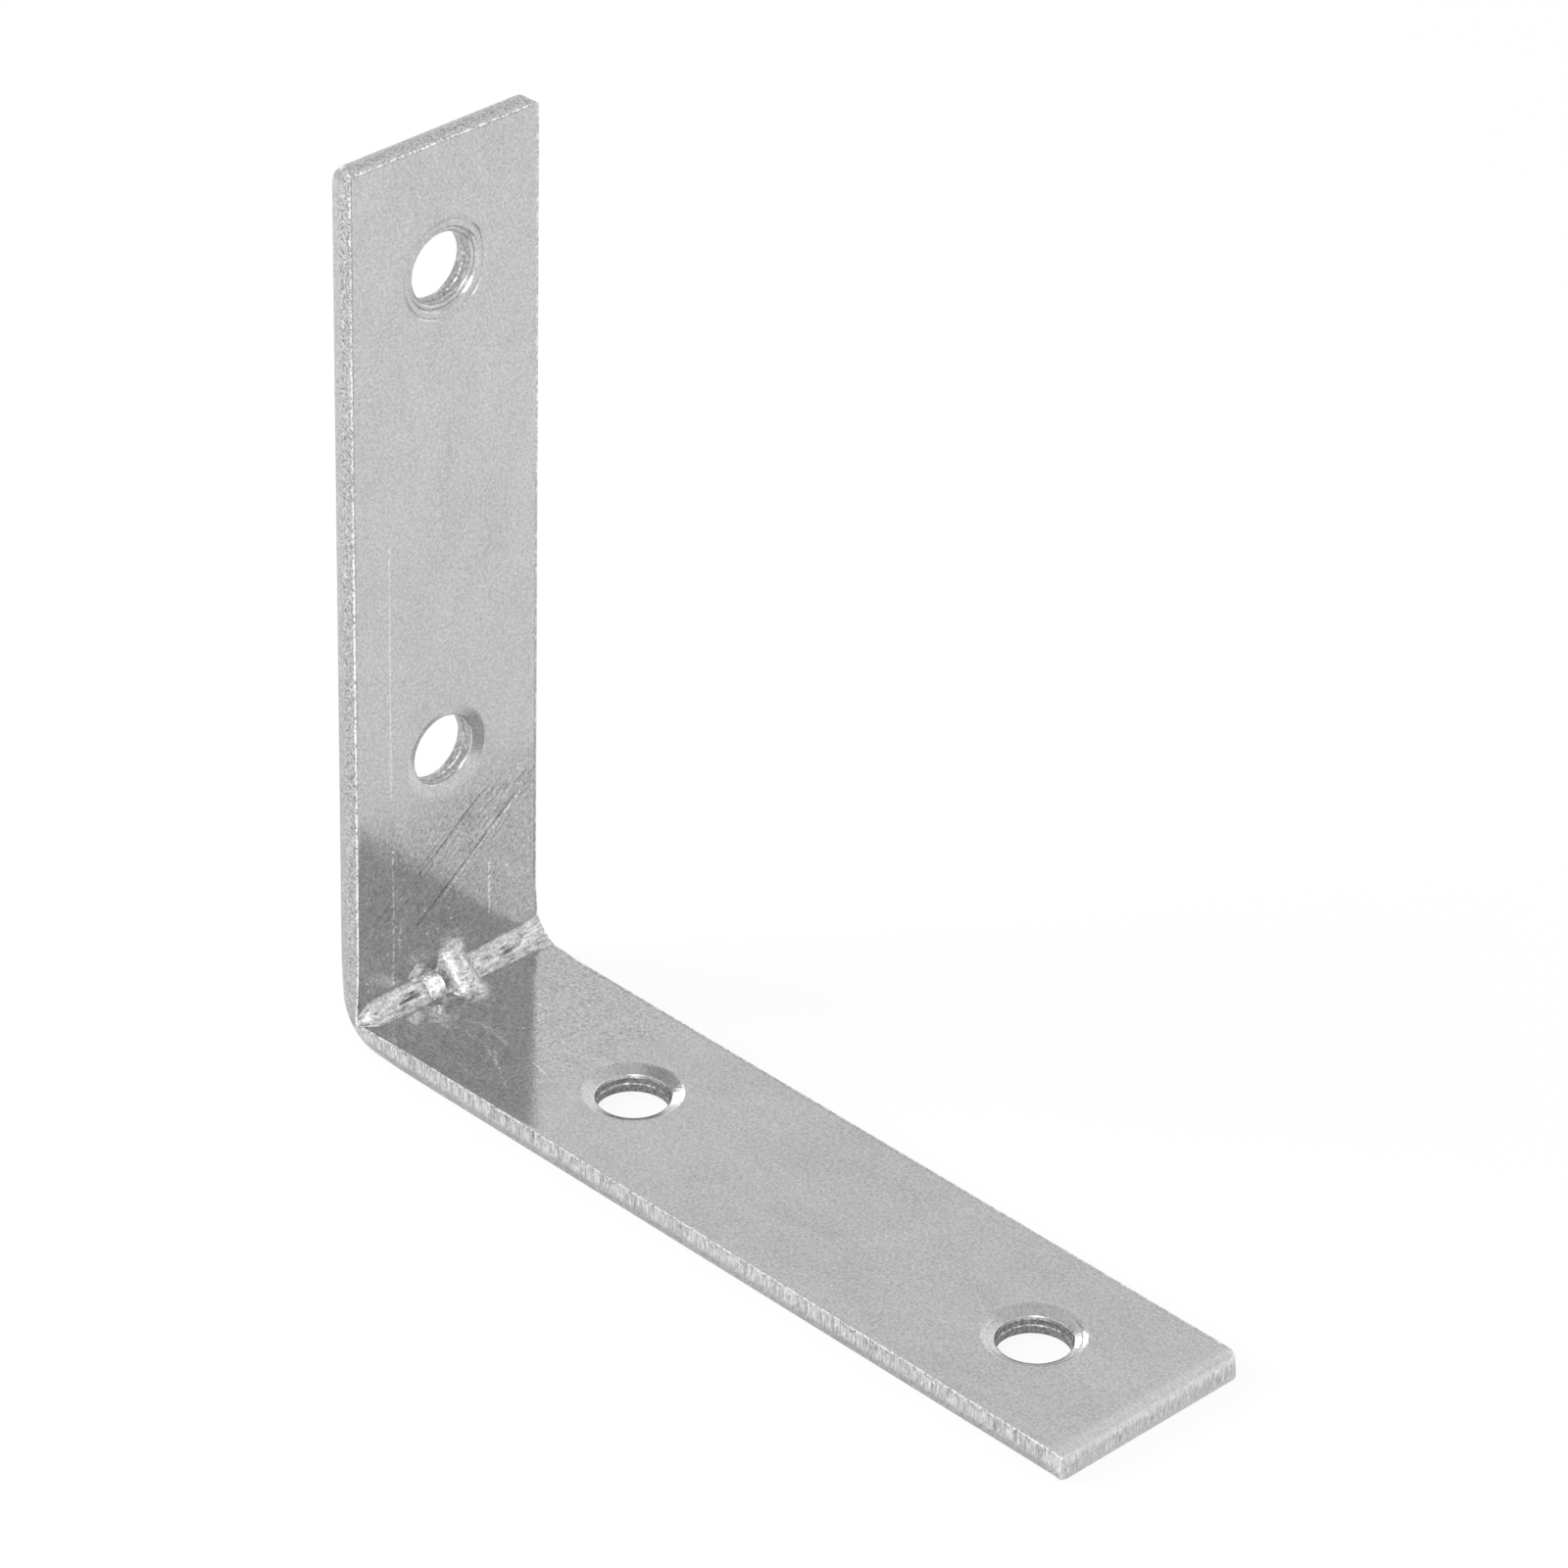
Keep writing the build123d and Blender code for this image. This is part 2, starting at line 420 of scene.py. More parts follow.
for leg in (-1, 1):
    for lower, upper in zip(field_runs[leg], field_runs[leg][1:]):
        in_hole = any(abs((lower + upper) / 2 - hole) < hole_square for hole in hole_runs[leg])
        for left, right in zip(field_columns, field_columns[1:]):
            if in_hole and abs(left + right) / 2 < hole_square:
                continue
            for depth in (0, 1):
                outline = along_side("across", left, leg * lower, leg * upper, depth)
                outline += along_side("run", leg * upper, left, right, depth)
                outline += along_side("across", right, leg * upper, leg * lower, depth)
                outline += along_side("run", leg * lower, right, left, depth)
                panels.append(tuple(outline))
for lower, upper in zip(fold_runs, fold_runs[1:]):
    for left, right in zip(fold_columns, fold_columns[1:]):
        for depth in (0, 1):
            corners = ((lower, left), (lower, right), (upper, right), (upper, left))
            panels.append(tuple(vertex(run, across, depth) for run, across in corners))

# The fold
# The strip is bent once over the nose of a punch. The nose leaves a flat, sharply bordered band along the
# inside of the fold; the sides swell at the squeezed inner face and draw in at the stretched outer face.
outer_bend_radius = 4.0
punch_band = 1.32
punch_crease = math.radians(21)
band_share = 1 / 3
band_run = fold_reach * band_share
side_swell = 0.26
# The band narrows to a point at the near side, widens a little on the far side, and is rounded off at its
# far end
near_point_share = 0.3
near_point_end = -7.3
far_widening = 0.1
far_end_rounding = 0.4
far_end_start = 7.4
far_end_radius = 3.2
root_two = math.sqrt(2)


def from_diagonal(outward, sideways):
    """A place given from the fold's diagonal, as distance along the base leg and height above it."""
    return np.stack([(outward + sideways) / root_two, (outward - sideways) / root_two], axis=-1)


def straight_on(distance):
    """A distance straight along the leg, past the end of a curve."""
    return np.stack([np.maximum(distance, 0), np.zeros_like(distance)], axis=-1)


def outer_line(share):
    """The fold's outer face: share goes from 0 on the diagonal to 1 at the end of the fold."""
    half_arc = outer_bend_radius * math.pi / 4
    travel = share * (half_arc + fold_reach - outer_bend_radius)
    angle = np.minimum(travel, half_arc) / outer_bend_radius
    arc = from_diagonal(outer_bend_radius * (root_two - np.cos(angle)), outer_bend_radius * np.sin(angle))
    return arc + straight_on(travel - half_arc)


def punched_line(share, band):
    """The fold's inner face where the punch pressed it: a nearly flat band between two creases."""
    half_turn = math.pi / 4 - punch_crease
    angle = half_turn * np.minimum(share / band_share, 1)
    radius = band / root_two / math.sin(half_turn)
    arc = from_diagonal(
        root_two * thickness + band / root_two + radius * (math.cos(half_turn) - np.cos(angle)),
        radius * np.sin(angle),
    )
    beyond = np.maximum(share - band_share, 0) / (1 - band_share) * (fold_reach - thickness - band)
    return arc + straight_on(beyond)


def far_end_line(share):
    """The inner face at the far side, where the punch's nose ends: a plain round fold."""
    half_arc = far_end_radius * math.pi / 4
    travel = share * (half_arc + fold_reach - thickness - far_end_radius)
    angle = np.minimum(travel, half_arc) / far_end_radius
    arc = from_diagonal(
        root_two * thickness + far_end_radius * (root_two - np.cos(angle)),
        far_end_radius * np.sin(angle),
    )
    return arc + straight_on(travel - half_arc)


# The bead
# A pin in the die pushes the fold inwards at 45 degrees, which stiffens the bracket and leaves a dent
# outside. The punch has a slot there, and on the near side of the ridge the squeezed metal stands up in it
# as a small mound.
crest_distance = 5.05
upright_foot_radius = 0.7
base_foot_radius = 2.0
# The ridge's section: how much of its height stands at each place across, a wall and a slanting face on the
# near side and a rounder far side
ridge_places = [-1.1, -0.98, -0.82, -0.45, 0.05, 0.7, 1.3, 1.75, 2.0]
ridge_shares = [0.0, 0.2, 0.62, 0.86, 1.0, 0.93, 0.68, 0.3, 0.0]
ridge_softness = 0.09
dent_middle = 0.15
dent_depth = 1.7
dent_half_width = 2.0
dent_reach = 0.62
# The slot's two ends and the thin lines that they left, and the mound between its near end and the ridge
slot_start = -2.6
slot_end = 2.08
closing_line_depth = 0.2
closing_line_width = 0.08
mound_height = 0.8
mound_top = -1.42
mound_end = -1.08
mound_slope = 1.2
mound_roundness = 0.7
# The groove along the band's borders and the drop at its near end
border_groove = 0.12
border_groove_width = 0.12
near_end_drop = 0.15
# The punch's nose left two short slits on each side of the slot: where across the strip each starts and
# ends, its place along the run at both, and its depth
slits = [
    (-5.3, -3.0, -0.36, -0.26, 0.26),
    (-4.6, -3.2, 0.72, 0.55, 0.2),
    (4.9, 5.75, 0.45, 0.6, 0.22),
    (4.75, 6.6, -0.6, -0.15, 0.26),
]
slit_width = 0.17
slit_lip = 0.08
slit_lip_place = 1.9


def hump(place, middle, half_width_of_hump):
    """A smooth hump of height 1 with feet half a width to each side."""
    share = np.clip((place - middle) / half_width_of_hump, -1, 1)
    return (1 + np.cos(math.pi * share)) / 2


def ridge_section(across):
    """How much of the ridge's height stands at each place over the width, its corners softened a little."""
    shifts = [-ridge_softness, 0, ridge_softness]
    return sum(np.interp(across + shift, ridge_places, ridge_shares) for shift in shifts) / len(shifts)


def crest_line(share, foot_radius):
    """The inner face along the ridge: straight across the corner, with a soft foot on the leg."""
    foot = crest_distance * root_two - thickness
    tangent = foot_radius * math.tan(math.pi / 8)
    half_line = (foot - thickness) / root_two - tangent
    arc = foot_radius * math.pi / 4
    rest = fold_reach - foot - tangent
    travel = share * (half_line + arc + rest)
    line = from_diagonal(np.full_like(share, crest_distance), np.minimum(travel, half_line))
    angle = np.clip(travel - half_line, 0, arc) / foot_radius
    turn_along = foot_radius * (np.sin(math.pi / 4) - np.sin(math.pi / 4 - angle))
    turn_down = foot_radius * (np.cos(math.pi / 4 - angle) - np.cos(math.pi / 4))
    beyond = np.maximum(travel - half_line - arc, 0)
    return line + np.stack([turn_along + beyond, -turn_down], axis=-1)


def pressed_relief(run, across, share):
    """How far the punch's nose, its slot and its slits raise or sink the inside of the fold."""
    over_band = np.clip(1 - (share / band_share) ** 2, 0, 1)
    relief = np.clip((across - slot_start) / (mound_top - slot_start), 0, 1) ** mound_slope
    relief = relief * (1 - eased(across, mound_top, mound_end)) * over_band ** mound_roundness * mound_height
    for line in (slot_start, slot_end):
        relief -= closing_line_depth * np.exp(-((across - line) / closing_line_width) ** 2) * over_band
    at_border = np.exp(-((np.abs(run) - band_run - border_groove_width) / border_groove_width) ** 2)
    beside_slot = 1 - eased(across, slot_start, slot_start + 0.2) + eased(across, 1.8, 2.0)
    relief -= border_groove * at_border * beside_slot
    relief -= near_end_drop * over_band * (1 - eased(across, -8.7, -7.7))
    for start, end, start_run, end_run, slit_depth in slits:
        middle = start_run + (end_run - start_run) * np.clip((across - start) / (end - start), 0, 1)
        ends = eased(across, start - 0.15, start + 0.25) * (1 - eased(across, end - 0.25, end + 0.15))
        relief -= slit_depth * ends * np.exp(-((run - middle) / slit_width) ** 2)
        relief += slit_lip * ends * np.exp(-((run - middle + slit_lip_place * slit_width) / slit_width) ** 2)
    return relief


def folded(run, across, depth):
    """Bends the flat strip: the places of its vertices in millimetres in the bracket's own frame."""
    share = np.minimum(np.abs(run) / fold_reach, 1)
    band = near_point_share + (1 - near_point_share) * eased(across, -half_width, near_point_end)
    band = punch_band * band + far_widening * eased(across, 4.7, 5.1)
    inner = punched_line(share, band)
    far_end = far_end_rounding * eased(across, far_end_start, half_width)
    inner = inner + (far_end_line(share) - inner) * far_end[:, None]
    inner = inner + (pressed_relief(run, across, share) / root_two)[:, None]
    on_base = (run < 0)[:, None]
    crest = np.where(on_base, crest_line(share, base_foot_radius), crest_line(share, upright_foot_radius))
    inner = inner + (crest - inner) * ridge_section(across)[:, None]
    dent = hump(across, dent_middle, dent_half_width)
    toward_inside = dent_depth / root_two * dent * hump(share, 0, dent_reach)
    outer = outer_line(share) + toward_inside[:, None]
    place = outer + (inner - outer) * depth[:, None]
    flat = np.stack([np.abs(run), depth * thickness], axis=-1)
    place = np.where((np.abs(run) > fold_reach)[:, None], flat, place)
    swell = side_swell * np.abs(across / half_width) ** 3 * (2 * depth - 1) * hump(share, 0, 1)
    x = np.where(run < 0, place[:, 0], place[:, 1])
    y = across + np.sign(across) * swell
    z = np.where(run < 0, place[:, 1], place[:, 0])
    return np.stack([x, y, z], axis=-1)


# The corners
# The blade rounds the corners of the strip's ends as it drags the metal down: widely at the outer face of
# the upright, and hardly at its inner face. For each corner, its radius and how much that grows through the
# sheet.
top_near_corner = (0.2, 1.1)
top_far_corner = (0.45, 0.15)
base_near_corner = (0.4, 0.1)
base_far_corner = (0.5, 0.45)


def ease_corners(run, across, depth):
    """Rounds the strip's four corners in plan."""
    length = np.where(run < 0, base_length, upright_height)
    rolled = np.clip(1 - depth, 0, 1) ** 0.8
    near = across < 0
    top_size = np.where(
        near,
        top_near_corner[0] + top_near_corner[1] * rolled,
        top_far_corner[0] + top_far_corner[1] * rolled,
    )
    base_size = np.where(
        near,
        base_near_corner[0] + base_near_corner[1] * depth,
        base_far_corner[0] + base_far_corner[1] * depth,
    )
    size = np.where(run < 0, base_size, top_size)
    along = np.clip((np.abs(run) - length + size) / size, 0, 1)
    over = np.clip((np.abs(across) - half_width + size) / size, 0, 1)
    inside = (along > 0) & (over > 0)
    new_run = length - size + size * along * np.sqrt(1 - over * over / 2)
    new_across = half_width - size + size * over * np.sqrt(1 - along * along / 2)
    run = np.where(inside, np.sign(run) * new_run, run)
    across = np.where(inside, np.sign(across) * new_across, across)
    return run, across


# The blank goes through the press, and the metal that the nose and the slot squeezed is marked as coined
strip_run, strip_across, strip_depth = np.array(blank).T
inner_face = strip_depth > 0.99
in_band = (np.abs(strip_run) < band_run + 0.1) & inner_face & (np.abs(strip_across) < half_width - 0.2)
on_ridge = ridge_section(strip_across) * inner_face
on_ridge *= 1 - eased(np.abs(strip_run), 3.5, 6)
on_mound = eased(strip_across, slot_start, slot_start + 0.15)
on_mound *= 1 - eased(strip_across, mound_top, mound_end)
pressed = np.maximum((0.9 - 0.15 * on_mound) * in_band * (1 - on_ridge), on_ridge)
finish = [
    (torn, max(coined, float(share)), bored, sunk)
    for (torn, coined, bored, sunk), share in zip(finish, pressed)
]
eased_run, eased_across = ease_corners(strip_run, strip_across, strip_depth)
bracket_places = folded(eased_run, eased_across, strip_depth)

# The zinc plating
# The bracket is zinc plated and cleaned bright once it is bent: a thin, hard, grey layer that is glossy and
# finely grained on the rolled faces, and frosted where the metal below it was torn or squeezed.
plating_grey = 0.515
plating = bpy.data.materials.new("zinc_plating")
plating.use_nodes = True
plating_nodes = plating.node_tree.nodes
plating_links = plating.node_tree.links
plating_shader = plating_nodes["Principled BSDF"]
plating_shader.inputs["Metallic"].default_value = 1.0
plating_shader.inputs["Base Color"].default_value = (plating_grey, plating_grey, plating_grey, 1)
plating_shader.inputs["Roughness"].default_value = 0.1


def node(kind, **settings):
    """A new node of the plating, with its settings and the values or links of its inputs."""
    made = plating_nodes.new("ShaderNode" + kind)
    for name, value in settings.items():
        if name in made.inputs:
            if isinstance(value, bpy.types.NodeSocket):
                plating_links.new(value, made.inputs[name])
            else:
                made.inputs[name].default_value = value
        else:
            setattr(made, name, value)
    return made


def worked_out(tree, operation, *values):
    """A number that a material or the light works out from others, given as values or as outputs of nodes."""
    made = tree.nodes.new("ShaderNodeMath")
    made.operation = operation
    for socket, value in zip(made.inputs, values):
        if isinstance(value, bpy.types.NodeSocket):
            tree.links.new(value, socket)
        else:
            socket.default_value = value
    return made.outputs[0]


def figure(operation, *values):
    """A number that the plating works out from others."""
    return worked_out(plating.node_tree, operation, *values)


def blended(amount, plain, changed):
    """A number that goes from plain to changed as the amount goes from 0 to 1."""
    return figure("MULTIPLY_ADD", amount, figure("SUBTRACT", changed, plain), plain)


def spread(value, start, end, first=0.0, last=1.0, course="LINEAR"):
    """A number that goes from first to last as the value goes from start to end."""
    limits = {"From Min": start, "From Max": end, "To Min": first, "To Max": last}
    return node("MapRange", interpolation_type=course, Value=value, **limits).outputs["Result"]


def faded(value, start, end):
    """A number that falls smoothly from 1 to 0 as the value goes from start to end."""
    return spread(value, start, end, 1.0, 0.0, "SMOOTHSTEP")


def risen(value, start, end):
    """A number that rises smoothly from 0 to 1 as the value goes from start to end."""
    return figure("SUBTRACT", 1.0, faded(value, start, end))


def grain(place, scale, detail, roughness=0.5, distortion=0.0):
    """An uneven number over the metal: how fine it is, and how many finer sizes it holds and how strongly."""
    settings = {"Scale": scale, "Detail": detail, "Roughness": roughness, "Distortion": distortion}
    return node("TexNoise", Vector=place, **settings).outputs["Fac"]


def stretched(place, *shares):
    """A place with its coordinates multiplied, so that a grain over it is drawn out where they shrink."""
    made = node("VectorMath", operation="MULTIPLY", Vector=place)
    made.inputs[1].default_value = shares
    return made.outputs[0]


on_metal = node("TexCoord").outputs["Object"]
tool_work = node("Attribute", attribute_name="finish")
tool_marks = node("SeparateColor", Color=tool_work.outputs["Color"])
torn, coined, bored = (tool_marks.outputs[name] for name in ("Red", "Green", "Blue"))
sunk = tool_work.outputs["Alpha"]
fine_grain = grain(on_metal, 4600.0, 2.0, 0.75)
speckle = grain(on_metal, 4200.0, 2.0, 0.6)
cloud = grain(on_metal, 160.0, 1.0)
sharp_speckle = spread(speckle, 0.38, 0.66)

# Where a point lies on the strip, in millimetres: along its run, negative on the base, and across it
in_millimetres = node("VectorMath", operation="SCALE", Vector=on_metal, Scale=1000.0).outputs[0]
metal_place = node("SeparateXYZ", Vector=in_millimetres)
along_base, across_strip, up_upright = (metal_place.outputs[name] for name in "XYZ")
on_upright = figure("GREATER_THAN", up_upright, along_base)
run_sign = figure("MULTIPLY_ADD", on_upright, 2.0, -1.0)
from_fold = figure("MAXIMUM", along_base, up_upright)
from_outer = figure("MINIMUM", along_base, up_upright)
strip_place = node("CombineXYZ", X=figure("MULTIPLY", from_fold, run_sign), Y=across_strip).outputs[0]
on_inner = figure("GREATER_THAN", from_outer, 1.9)
on_sheared = risen(figure("ABSOLUTE", across_strip), 8.85, 8.98)
# The base's end, where painted light lightens the colour
painted_light_at_base_end = risen(from_fold, 72.9, 74.3)

# The marks that the dies and other brackets left: each is a line through places on the strip (run, across),
# its half width and how much lighter or darker it is
marks = [
    (((17.0, 3.31), (12.44, -2.77)), 0.08, -0.26),
    (((15.64, 6.96), (8.09, -3.09)), 0.08, -0.26),
    (((15.6, 7.3), (12.3, 2.9), (8.8, -1.2)), 0.09, 0.16),
    (((41.4, -5.51), (20.3, -5.5)), 0.06, 0.15),
    (((16.0, -5.36), (3.9, -5.37)), 0.06, 0.3),
    (((4.4, -3.5), (3.6, -2.8)), 0.45, 0.9),
    (((-4.0, -3.2), (-5.9, -4.3)), 0.45, 0.34),
    (((9.5, -4.3), (7.6, -4.9), (6.4, -4.6)), 0.07, 0.22),
    (((5.6, -3.6), (5.0, -3.2), (5.4, -2.2)), 0.07, 0.22),
    (((10.8, 4.2), (5.8, 4.2)), 0.07, 0.28),
    (((-4.9, -3.8), (-6.5, -2.74), (-8.2, -2.29), (-9.7, -2.2), (-11.8, -2.7)), 0.16, 0.15),
    (((-5.6, -4.6), (-7.9, -3.7), (-10.0, -3.9)), 0.14, 0.12),
    (((-10.4, -3.9), (-13.5, -5.2)), 0.08, 0.18),
    (((-10.9, -3.4), (-12.4, -4.6), (-15.6, -6.4)), 0.07, 0.16),
    (((-8.6, 2.7), (-10.1, 2.8)), 0.08, 0.16),
    (((-14.6, -2.8), (-16.2, -3.2)), 0.08, 0.16),
]
wobble_reach = 0.08
wobble = figure("MULTIPLY_ADD", grain(on_metal, 450.0, 1.0), 2 * wobble_reach, -wobble_reach)
wobbly_run = figure("MULTIPLY_ADD", from_fold, run_sign, wobble)
wobbly_place = node("CombineXYZ", X=wobbly_run, Y=figure("ADD", across_strip, wobble), Z=1.0).outputs[0]


def off_line(square_way, place, size):
    """How far a point lies off the line through a place, square to a direction, counted in the given size."""
    off = node("VectorMath", operation="DOT_PRODUCT", Vector=wobbly_place)
    off.inputs[1].default_value = (*(square_way / size), -place.dot(square_way) / size)
    return off.outputs["Value"]


marked = 0.0
for points, mark_half, strength in marks:
    for mark_start, mark_end in zip(points, points[1:]):
        mark_line = Vector(mark_end) - Vector(mark_start)
        mark_way = mark_line.normalized()
        mark_middle = (Vector(mark_start) + Vector(mark_end)) / 2
        sideways = off_line(Vector((-mark_way.y, mark_way.x)), mark_middle, mark_half * 2)
        lengthwise = off_line(mark_way, mark_middle, mark_line.length / 2)
        in_mark = figure("MINIMUM", figure("MULTIPLY_ADD", sideways, sideways, -1.0), 0.0)
        in_mark = figure("MULTIPLY", in_mark, figure("COMPARE", lengthwise, 0.0, 1.0))
        marked = figure("MULTIPLY_ADD", in_mark, -strength, marked)
rub_grain = grain(on_metal, 4200.0, 2.0, 0.7)
marked = figure("MULTIPLY", figure("MULTIPLY", marked, spread(rub_grain, 0.4, 0.58, 0.1, 1.3)), on_inner)

# Specks of zinc that stand a little proud, most of them low on the upright
speck_cells = node("TexVoronoi", Vector=on_metal, Scale=900.0)
speck_kind = node("SeparateColor", Color=speck_cells.outputs["Color"]).outputs["Red"]
specks = faded(speck_cells.outputs["Distance"], 0.06, 0.12)
specks = figure("MULTIPLY", specks, figure("GREATER_THAN", speck_kind, 0.6))
specks = figure("MULTIPLY", specks, faded(from_fold, 9.0, 19.0))

# The dies rubbed the legs near the fold: the grain is coarser there, and the upright is brushed slantwise
rub_contrast = 0.6
rub_middle = 0.515
rub_loss_on_upright = -0.066
brush_contrast = 0.6
brush_middle = 10.0
brush_turn = math.radians(36.9)
rubbed = faded(from_fold, 16.0, 21.0)
brush_place = node("VectorRotate", Vector=strip_place, Axis=(0.0, 0.0, 1.0), Angle=brush_turn).outputs[0]
brush_off_middle = figure("SUBTRACT", node("SeparateXYZ", Vector=brush_place).outputs["X"], brush_middle)
brush_area = figure("MULTIPLY", faded(figure("ABSOLUTE", brush_off_middle), 1.5, 5.0), on_upright)
brush_area = figure("MULTIPLY", brush_area, risen(from_fold, 7.0, 12.0))
brush_grain = grain(stretched(brush_place, 3.6, 0.4, 1.0), 1.0, 2.0, 0.65)
brush_change = figure("MULTIPLY", figure("MULTIPLY_ADD", brush_grain, brush_contrast, -0.31), brush_area)
rub_on_upright = figure("MULTIPLY", on_upright, rub_loss_on_upright)
rub_change = figure("SUBTRACT", rub_grain, rub_middle)
rub_change = figure("MULTIPLY_ADD", rub_change, rub_contrast, rub_on_upright)
rub_change = figure("ADD", rub_change, brush_change)

# The rolled faces: the fine grain, cloudy smears, the rubbed parts, the marks and the specks, and painted
# light that lightens the base's end
grain_contrast = 0.6
smear_contrast = 0.13
gain_on_upright = 0.046
loss_on_sheared = -0.07
speck_gain = 0.45
rolled_grey = figure("MULTIPLY_ADD", fine_grain, grain_contrast, plating_grey - grain_contrast / 2)
smear = grain(stretched(on_metal, 0.6, 1.0, 0.6), 190.0, 2.0, 0.6, 1.2)
rolled_grey = figure("MULTIPLY_ADD", figure("SUBTRACT", smear, 0.5), smear_contrast, rolled_grey)
rolled_grey = figure("MULTIPLY_ADD", figure("MULTIPLY", rubbed, on_inner), rub_change, rolled_grey)
rolled_grey = figure("ADD", rolled_grey, figure("MULTIPLY_ADD", on_upright, gain_on_upright, marked))
rolled_grey = figure("MULTIPLY_ADD", on_sheared, loss_on_sheared, rolled_grey)
rolled_grey = figure("MULTIPLY_ADD", figure("MULTIPLY", specks, on_inner), speck_gain, rolled_grey)
# Painted light: the base's end is lightened in its colour, standing in for more light on it
rolled_grey = figure("MULTIPLY_ADD", painted_light_at_base_end, 0.12, rolled_grey)

# The coined metal in the fold is streaked across the strip
band_streaks = grain(stretched(on_metal, 1.0, 0.3, 1.0), 3400.0, 2.0, 0.7)
coined_level = figure("ADD", fine_grain, 0.14)
coined_grey = figure("MULTIPLY_ADD", figure("SUBTRACT", band_streaks, 0.5), 1.5, coined_level)

# The tear runs through the sheet's thickness; on the base it is coarser and brighter. Its streaks and specks
# are partly the torn metal's own tone and partly painted highlights that stand in for facets catching the
# light, and at the base's end painted light lightens it further.
tear_squeeze = figure("MULTIPLY_ADD", on_upright, 0.8, 0.12)
tear_through = figure("MULTIPLY", from_outer, tear_squeeze)
tear_place = node("CombineXYZ", X=from_fold, Y=tear_through, Z=across_strip).outputs[0]
tear_streaks = grain(tear_place, 7.0, 1.0, 0.6)
# On the upright the torn metal is darker; at the base's end painted light lightens it
tear_level = figure("MULTIPLY_ADD", on_upright, -0.12, figure("MULTIPLY_ADD", painted_light_at_base_end, 0.06, 0.53))
torn_grey_and_glints = figure("MULTIPLY_ADD", figure("SUBTRACT", tear_streaks, 0.5), 1.1, tear_level)
torn_grey_and_glints = figure("MULTIPLY_ADD", sharp_speckle, 0.14, torn_grey_and_glints)

# The burr shines as a row of dots, closer together where the burr is stronger: painted glints, where the base
# colour is lifted to near white in a row of dots to stand in for the burr's highlights.
burr_glint_grey = figure("MULTIPLY_ADD", sharp_speckle, 0.35, 0.85)
burr_glint_shown = figure("MULTIPLY_ADD", speckle, 5.0, figure("SUBTRACT", coined, 2.5))
burr_glint_shown = figure("MULTIPLY", risen(burr_glint_shown, 0.35, 0.6), figure("GREATER_THAN", coined, 0.15))

# The bored walls: a dark rough grey with light specks, painted darker in the base's holes as painted shade
# for the shaded floor that those walls mirror
bored_grey_and_shade = figure("MULTIPLY_ADD", sharp_speckle, 0.24, figure("MULTIPLY_ADD", on_upright, 0.12, 0.2))
grey = blended(coined, rolled_grey, coined_grey)
grey = blended(bored, grey, bored_grey_and_shade)
grey = blended(torn, grey, blended(burr_glint_shown, torn_grey_and_glints, burr_glint_grey))
plating_links.new(grey, plating_shader.inputs["Base Color"])

# The gloss: how rough the rolled faces are, what roughens them, and how rough the worked metal is
rolled_roughness = figure("MULTIPLY_ADD", cloud, 0.04, 0.07)
from_end = figure("MULTIPLY_ADD", on_upright, base_length - upright_height, -base_length)
at_end = risen(figure("ADD", from_fold, from_end), -0.4, -0.05)
roughness = figure("MULTIPLY_ADD", specks, 0.3, rolled_roughness)
roughness = figure("MULTIPLY_ADD", figure("MAXIMUM", on_sheared, at_end), 0.3, roughness)
roughness = figure("MULTIPLY_ADD", sunk, 0.07, roughness)
roughness = figure("MULTIPLY_ADD", figure("MULTIPLY", rubbed, on_upright), 0.05, roughness)
for worked_metal, worked_roughness in ((coined, 0.45), (torn, 0.36), (bored, 0.4)):
    roughness = blended(worked_metal, roughness, worked_roughness)
plating_links.new(roughness, plating_shader.inputs["Roughness"])

# The relief of the grain, in units of six thousandths of a millimetre: deepest where the metal is coined
relief_unit = 0.006 * millimetre
coined_relief = figure("MULTIPLY_ADD", speckle, 13.0, figure("MULTIPLY", band_streaks, 16.0))
relief = figure("MULTIPLY_ADD", figure("MAXIMUM", torn, bored), figure("MULTIPLY", speckle, 11.0), fine_grain)
relief = figure("MULTIPLY_ADD", coined, coined_relief, relief)
relief = figure("MULTIPLY_ADD", sunk, figure("MULTIPLY", speckle, 4.0), relief)
grain_bump = node("Bump", Strength=0.7, Distance=relief_unit, Height=relief)
plating_links.new(grain_bump.outputs["Normal"], plating_shader.inputs["Normal"])

# The finished bracket
# The flat strip's panels at the places that the press work gave them, in zinc plating. It is the whole part:
# one piece of metal that lies on its base leg and has nothing fixed to it.
sharp_edge = math.radians(40)
bracket_mesh = bpy.data.meshes.new("bracket")
bracket_mesh.from_pydata((bracket_places * millimetre).tolist(), [], panels)
shell = bmesh.new()
shell.from_mesh(bracket_mesh)
bmesh.ops.recalc_face_normals(shell, faces=shell.faces)
shell.to_mesh(bracket_mesh)
shell.free()
finish_layer = bracket_mesh.attributes.new("finish", "FLOAT_COLOR", "POINT")
finish_layer.data.foreach_set("color", [share for vertex_finish in finish for share in vertex_finish])
bracket_mesh.materials.append(plating)
bracket_mesh.shade_smooth()
bracket_mesh.set_sharp_from_angle(angle=sharp_edge)
bracket = bpy.data.objects.new("bracket", bracket_mesh)
bpy.context.collection.objects.link(bracket)
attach(bracket, "root")
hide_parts("angle_bracket")

